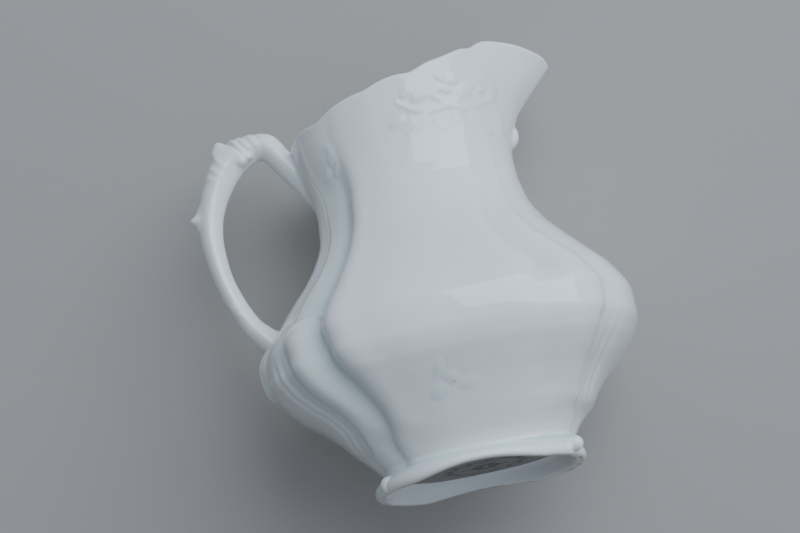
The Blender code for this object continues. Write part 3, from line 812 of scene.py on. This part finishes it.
# ---------------------------------------------------------------- materials
GLAZED = 0.06  # roughness of the glaze
DULL_RECESS = 0.5  # roughness of the recess whose colour is painted shade
UNGLAZED = 0.7  # roughness of the bare edge of the foot
GLAZE_IOR = 1.5
UNDER_GLAZE = 0.12  # share of the light that passes into the ware
UNDER_GLAZE_REACH = (1.0, 0.9, 0.8)
UNDER_GLAZE_SCALE = 0.0012
WHITE_LOW = (0.74, 0.77, 0.77, 1)
WHITE_HIGH = (0.80, 0.82, 0.82, 1)
WHITE_RANGE = (0.3, 0.7)
POOLED = (0.60, 0.72, 0.73, 1)
SPECK = (0.16, 0.12, 0.09, 1)
# painted shade: dark brown-grey laid over the recess under the base in place of the shadow there, at the
# share below
RECESS_SHADE = (0.13, 0.11, 0.09, 1)
RECESS_SHADE_SHARE = 0.85
INK = (0.01, 0.011, 0.012, 1)
INK_SHARE = 0.97
BARE_EDGE = (0.36, 0.25, 0.14, 1)
# scales of the noise, in cycles to the metre
CLOUD_SCALE = 38.0
SPECK_SCALE = 130.0
SPECK_PATCH_SCALE = 61.0
WAVE_SCALE = 110.0
GRIT_SCALE = 240.0
WAVE_STRENGTH = 0.10
WAVE_DEPTH = 0.0003


def link(tree, *pairs):
    for a, b in pairs:
        tree.links.new(a, b)


def add_node(tree, kind, **values):
    """New node with its named sockets set; an underscore stands for a space."""
    node = tree.nodes.new(kind)
    for socket, value in values.items():
        node.inputs[socket.replace("_", " ")].default_value = value
    return node


def attribute(tree, label):
    """One of the numbers stored at the points of the mesh."""
    node = tree.nodes.new("ShaderNodeAttribute")
    node.attribute_name = label
    return node.outputs["Fac"]


def mapped(tree, value, **ends):
    """Number carried from one range to another."""
    node = add_node(tree, "ShaderNodeMapRange", **ends)
    link(tree, (value, node.inputs["Value"]))
    return node.outputs["Result"]


def product(tree, a, b):
    """Product of an output with another output or a number."""
    node = tree.nodes.new("ShaderNodeMath")
    node.operation = "MULTIPLY"
    link(tree, (a, node.inputs[0]))
    if isinstance(b, float):
        node.inputs[1].default_value = b
    else:
        link(tree, (b, node.inputs[1]))
    return node.outputs["Value"]


def painted(tree, under, over, factor):
    """A plain colour laid over another by a factor."""
    node = tree.nodes.new("ShaderNodeMix")
    node.data_type = "RGBA"
    node.inputs["B"].default_value = over
    link(tree, (under, node.inputs["A"]), (factor, node.inputs["Factor"]))
    return node.outputs["Result"]


def glaze(name, foot=False):
    """White glazed porcelain: cool pooling, fine specks and a faintly wavy skin."""
    made = bpy.data.materials.new(name)
    made.use_nodes = True
    tree = made.node_tree
    shader = tree.nodes["Principled BSDF"]
    shader.inputs["IOR"].default_value = GLAZE_IOR
    shader.inputs["Subsurface Weight"].default_value = UNDER_GLAZE
    shader.inputs["Subsurface Radius"].default_value = UNDER_GLAZE_REACH
    shader.inputs["Subsurface Scale"].default_value = UNDER_GLAZE_SCALE
    place = tree.nodes.new("ShaderNodeTexCoord").outputs["Object"]

    # faint clouds of tone, and cooler glaze where it pools
    cloud = add_node(tree, "ShaderNodeTexNoise", Scale=CLOUD_SCALE, Detail=3.0)
    tone = tree.nodes.new("ShaderNodeValToRGB")
    for stop, at, white in zip(tone.color_ramp.elements, WHITE_RANGE, (WHITE_LOW, WHITE_HIGH)):
        stop.position = at
        stop.color = white
    link(tree, (place, cloud.inputs["Vector"]), (cloud.outputs["Fac"], tone.inputs["Fac"]))
    colour = painted(tree, tone.outputs["Color"], POOLED, attribute(tree, "pool"))

    # brown specks, kept to a few patches
    speck = add_node(tree, "ShaderNodeTexVoronoi", Scale=SPECK_SCALE, Randomness=1.0)
    patch = add_node(tree, "ShaderNodeTexNoise", Scale=SPECK_PATCH_SCALE, Detail=1.0)
    link(tree, (place, speck.inputs["Vector"]), (place, patch.inputs["Vector"]))
    dot = mapped(tree, speck.outputs["Distance"], From_Min=0.035, From_Max=0.02)
    few = mapped(tree, patch.outputs["Fac"], From_Min=0.60, From_Max=0.66)
    colour = painted(tree, colour, SPECK, product(tree, dot, few))

    # wavy skin
    wave = add_node(tree, "ShaderNodeTexNoise", Scale=WAVE_SCALE, Detail=2.0)
    bump = add_node(tree, "ShaderNodeBump", Strength=WAVE_STRENGTH, Distance=WAVE_DEPTH)
    link(tree, (place, wave.inputs["Vector"]), (wave.outputs["Fac"], bump.inputs["Height"]),
         (bump.outputs["Normal"], shader.inputs["Normal"]))

    if foot:
        # worn patches on the edge that the jug stands on
        grit = add_node(tree, "ShaderNodeTexNoise", Scale=GRIT_SCALE, Detail=3.0)
        link(tree, (place, grit.inputs["Vector"]))
        patchy = mapped(tree, grit.outputs["Fac"], From_Min=0.40, From_Max=0.62, To_Min=0.15)
        bare = product(tree, attribute(tree, "bare"), patchy)
        colour = painted(tree, colour, BARE_EDGE, bare)
        roughness = mapped(tree, bare, To_Min=GLAZED, To_Max=UNGLAZED)
    else:
        # the recess painted dark as shade and made duller, and the emblem printed in it
        recess_shade = attribute(tree, "recess_shade")
        colour = painted(tree, colour, RECESS_SHADE, product(tree, recess_shade, RECESS_SHADE_SHARE))
        colour = painted(tree, colour, INK, product(tree, attribute(tree, "mark"), INK_SHARE))
        roughness = mapped(tree, recess_shade, To_Min=GLAZED, To_Max=DULL_RECESS)
    link(tree, (roughness, shader.inputs["Roughness"]), (colour, shader.inputs["Base Color"]))
    return made


# ---------------------------------------------------------------- stage, light and camera
# where the camera looks from, in degrees round and above the jug, and how it is tilted
AZIMUTH = math.radians(0.0)
ELEVATION = math.radians(-15.0)
ROLL = math.radians(12.0)
FOCAL = 1804.0  # pixels, of an image 800 wide
WIDTH, HEIGHT = 800.0, 533.0
DISTANCE = 0.55
AIM = Vector((MIDDLE_X, 0.0, 0.062))
AIM_AT = (440.0, 283.0)  # where the aim point falls in the image
SENSOR = 36.0
NEAREST, FURTHEST_SEEN = 0.01, 20.0
# the jug lies against the floor at two places: Y and Z in mm
FLOOR_AT_BELLY = (48.2, 42.0)
FLOOR_AT_LIP = (30.9, 119.0)
FLOOR_HALF = 2.2  # in metres
FLOOR_COLOUR = (0.36, 0.34, 0.32, 1)
# the sky brightens along one direction: colours behind, across and ahead of it
SKY_TOWARDS = (0.60, -0.78, 0.18)
SKY_BEHIND = (0.045, 0.04, 0.035, 1)
SKY_ACROSS = (0.165, 0.178, 0.196, 1)
SKY_AHEAD = (0.68, 0.78, 0.93, 1)
LIT_POINT = (MIDDLE_X, 0, 0.06)
# name, place, width, height, watts, colour
LAMPS = (
    ("key", (0.50, -0.86, 0.40), 1.05, 0.75, 10.8, (0.79, 0.89, 1.0)),
    ("back", (-0.2, 0.9, 0.6), 0.8, 0.8, 5.0, (0.88, 0.95, 1.0)),
)


def add_camera():
    """Camera aimed so that the aim point falls at its own place in the image."""
    data = bpy.data.cameras.new("camera")
    data.sensor_width = SENSOR
    data.lens = FOCAL * SENSOR / WIDTH
    data.clip_start = NEAREST
    data.clip_end = FURTHEST_SEEN
    camera = bpy.data.objects.new("camera", data)
    bpy.context.scene.collection.objects.link(camera)
    right = Vector((math.cos(AZIMUTH), math.sin(AZIMUTH), 0.0))
    ahead = Vector((-math.sin(AZIMUTH) * math.cos(ELEVATION), math.cos(AZIMUTH) * math.cos(ELEVATION),
                    -math.sin(ELEVATION)))
    up = right.cross(ahead)
    rolled_right = math.cos(ROLL) * right - math.sin(ROLL) * up
    rolled_up = math.sin(ROLL) * right + math.cos(ROLL) * up
    off = Vector(((AIM_AT[0] - WIDTH / 2) / FOCAL, -(AIM_AT[1] - HEIGHT / 2) / FOCAL, 1.0)).normalized()
    seen = off.x * rolled_right + off.y * rolled_up + off.z * ahead
    swing = seen.rotation_difference(ahead).to_matrix()
    x_axis = swing @ rolled_right
    y_axis = swing @ rolled_up
    z_axis = -(swing @ ahead)
    turn = Matrix((x_axis, y_axis, z_axis)).transposed().to_4x4()
    camera.matrix_world = Matrix.Translation(AIM - ahead * DISTANCE) @ turn
    bpy.context.scene.camera = camera


def add_lamp(name, place, width, height, watts, colour):
    data = bpy.data.lights.new(name, "AREA")
    data.shape = "RECTANGLE"
    data.size = width
    data.size_y = height
    data.energy = watts
    data.color = colour
    lamp = bpy.data.objects.new(name, data)
    lamp.location = place
    lamp.rotation_euler = (Vector(LIT_POINT) - Vector(place)).to_track_quat("-Z", "Y").to_euler()
    bpy.context.scene.collection.objects.link(lamp)


def add_stage():
    """Pale floor that the jug lies against, as a plane through the backs of its belly and lip."""
    belly, lip = (Vector((MIDDLE_X, y * MM, z * MM)) for y, z in (FLOOR_AT_BELLY, FLOOR_AT_LIP))
    climb = (lip - belly).normalized()
    corners = []
    for across, up in ((-1, -1), (1, -1), (1, 1), (-1, 1)):
        corners.append(belly + Vector((across * FLOOR_HALF, 0, 0)) + climb * up * FLOOR_HALF)
    data = bpy.data.meshes.new("floor")
    data.from_pydata([tuple(corner) for corner in corners], [], [(0, 1, 2, 3)])
    floor = bpy.data.objects.new("floor", data)
    bpy.context.scene.collection.objects.link(floor)
    made = bpy.data.materials.new("pale_floor")
    made.use_nodes = True
    tree = made.node_tree
    shader = tree.nodes["Principled BSDF"]
    shader.inputs["Base Color"].default_value = FLOOR_COLOUR
    shader.inputs["Roughness"].default_value = 0.8
    shader.inputs["Specular IOR Level"].default_value = 0.2
    # seen and lit from the jug's side only, so that it hides nothing from behind
    clear = tree.nodes.new("ShaderNodeBsdfTransparent")
    side = tree.nodes.new("ShaderNodeNewGeometry")
    path = tree.nodes.new("ShaderNodeLightPath")
    either = tree.nodes.new("ShaderNodeMath")
    either.operation = "MAXIMUM"
    mix = tree.nodes.new("ShaderNodeMixShader")
    link(tree, (side.outputs["Backfacing"], either.inputs[0]),
         (path.outputs["Is Shadow Ray"], either.inputs[1]), (either.outputs["Value"], mix.inputs[0]),
         (shader.outputs[0], mix.inputs[1]), (clear.outputs[0], mix.inputs[2]),
         (mix.outputs[0], tree.nodes["Material Output"].inputs["Surface"]))
    data.materials.append(made)


def add_lights():
    """Soft sky, brightest ahead and to the right, with a wide lamp there and a weaker one behind."""
    world = bpy.data.worlds.new("studio")
    bpy.context.scene.world = world
    world.use_nodes = True
    tree = world.node_tree
    sky = tree.nodes["Background"]
    sky.inputs["Strength"].default_value = 1.0
    place = tree.nodes.new("ShaderNodeTexCoord")
    facing = tree.nodes.new("ShaderNodeVectorMath")
    facing.operation = "DOT_PRODUCT"
    facing.inputs[1].default_value = Vector(SKY_TOWARDS).normalized()
    ramp = tree.nodes.new("ShaderNodeValToRGB")
    ramp.color_ramp.interpolation = "EASE"
    stops = ramp.color_ramp.elements
    stops[0].color = SKY_BEHIND
    stops[1].color = SKY_AHEAD
    stops.new(0.5).color = SKY_ACROSS
    link(tree, (place.outputs["Generated"], facing.inputs[0]), (ramp.outputs["Color"], sky.inputs["Color"]))
    spread = mapped(tree, facing.outputs["Value"], From_Min=-1.0, From_Max=1.0)
    link(tree, (spread, ramp.inputs["Fac"]))
    for lamp in LAMPS:
        add_lamp(*lamp)


# ---------------------------------------------------------------- build
BODY_GLAZE = glaze("body_glaze")
FOOT_GLAZE = glaze("foot_glaze", foot=True)

PIECES = (
    (build_body(), BODY_GLAZE, "jug_body"),
    (build_foot(), FOOT_GLAZE, "foot_ring"),
    (build_handle(), BODY_GLAZE, "handle"),
    (build_joint("visual_upper_joint", True, UPPER_JOINT), BODY_GLAZE, "upper_slip_joint"),
    (build_joint("visual_lower_joint", False, LOWER_JOINT), BODY_GLAZE, "lower_slip_joint"),
)
for piece, material, node in PIECES:
    piece.data.materials.append(material)
    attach(piece, "root")
    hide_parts(node)

add_camera()
add_lights()
add_stage()
